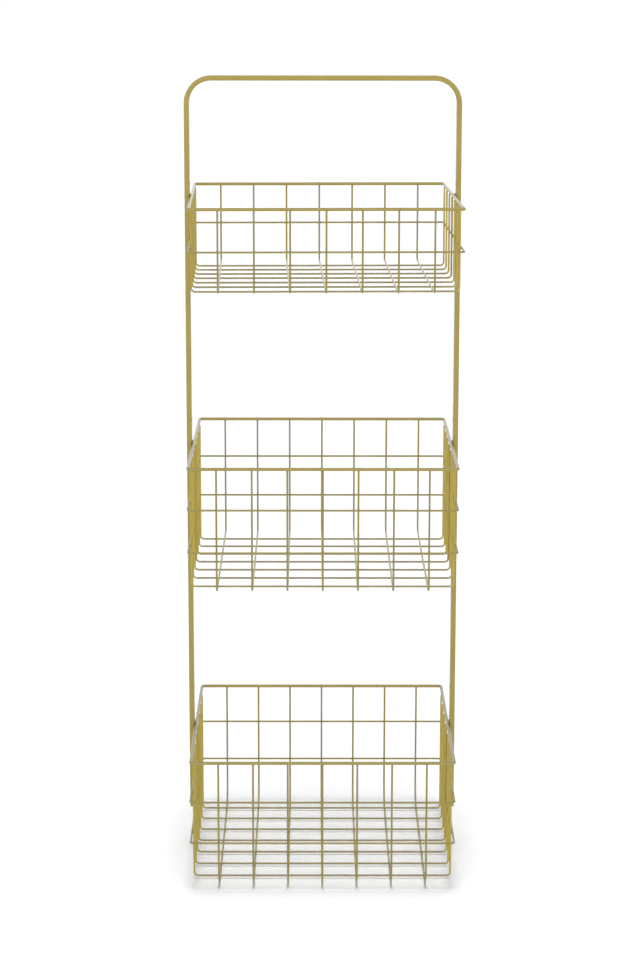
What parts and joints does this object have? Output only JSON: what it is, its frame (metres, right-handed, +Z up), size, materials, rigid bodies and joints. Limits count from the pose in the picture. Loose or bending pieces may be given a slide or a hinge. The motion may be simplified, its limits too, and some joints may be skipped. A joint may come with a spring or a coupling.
{
  "type": "storage caddy",
  "caption": "Tall wire storage caddy with stacked open baskets between two flat uprights and a carrying hoop on top.",
  "frame": {"origin": "on the floor, under the middle of the baskets", "axes": "+X to the right and -Y towards the front as pictured, +Z up; the uprights stand at the left and right"},
  "size_m": [0.3434, 0.3482, 0.9965],
  "materials": {
    "hoop": "satin gold powder coat on flat steel tube",
    "uprights": "satin gold powder coat on flat steel tube",
    "rims": "satin gold powder coat on steel rod",
    "rings": "satin gold powder coat on steel wire",
    "mesh": "satin gold powder coat on steel wire",
    "screws": "plated steel set screw"
  },
  "bodies": {
    "root": {"bottom_cross_wire_1": "mesh", "bottom_cross_wire_2": "mesh", "bottom_cross_wire_3": "mesh", "bottom_cross_wire_4": "mesh", "bottom_cross_wire_5": "mesh", "bottom_cross_wire_6": "mesh", "bottom_cross_wire_7": "mesh", "bottom_long_wire_1": "mesh", "bottom_long_wire_2": "mesh", "bottom_long_wire_3": "mesh", "bottom_long_wire_4": "mesh", "bottom_long_wire_5": "mesh", "bottom_long_wire_6": "mesh", "bottom_long_wire_7": "mesh", "bottom_rim": "rims", "bottom_ring_1": "rings", "bottom_ring_2": "rings", "hoop_handle": "hoop", "lower_upright_left": "uprights", "lower_upright_right": "uprights", "middle_cross_wire_1": "mesh", "middle_cross_wire_2": "mesh", "middle_cross_wire_3": "mesh", "middle_cross_wire_4": "mesh", "middle_cross_wire_5": "mesh", "middle_cross_wire_6": "mesh", "middle_cross_wire_7": "mesh", "middle_long_wire_1": "mesh", "middle_long_wire_2": "mesh", "middle_long_wire_3": "mesh", "middle_long_wire_4": "mesh", "middle_long_wire_5": "mesh", "middle_long_wire_6": "mesh", "middle_long_wire_7": "mesh", "middle_rim": "rims", "middle_ring_1": "rings", "middle_ring_2": "rings", "middle_upright_left": "uprights", "middle_upright_right": "uprights", "section_screws": "screws", "top_cross_wire_1": "mesh", "top_cross_wire_2": "mesh", "top_cross_wire_3": "mesh", "top_cross_wire_4": "mesh", "top_cross_wire_5": "mesh", "top_cross_wire_6": "mesh", "top_cross_wire_7": "mesh", "top_long_wire_1": "mesh", "top_long_wire_2": "mesh", "top_long_wire_3": "mesh", "top_long_wire_4": "mesh", "top_long_wire_5": "mesh", "top_long_wire_6": "mesh", "top_long_wire_7": "mesh", "top_rim": "rims", "top_ring_1": "rings"}
  },
  "joints": []
}
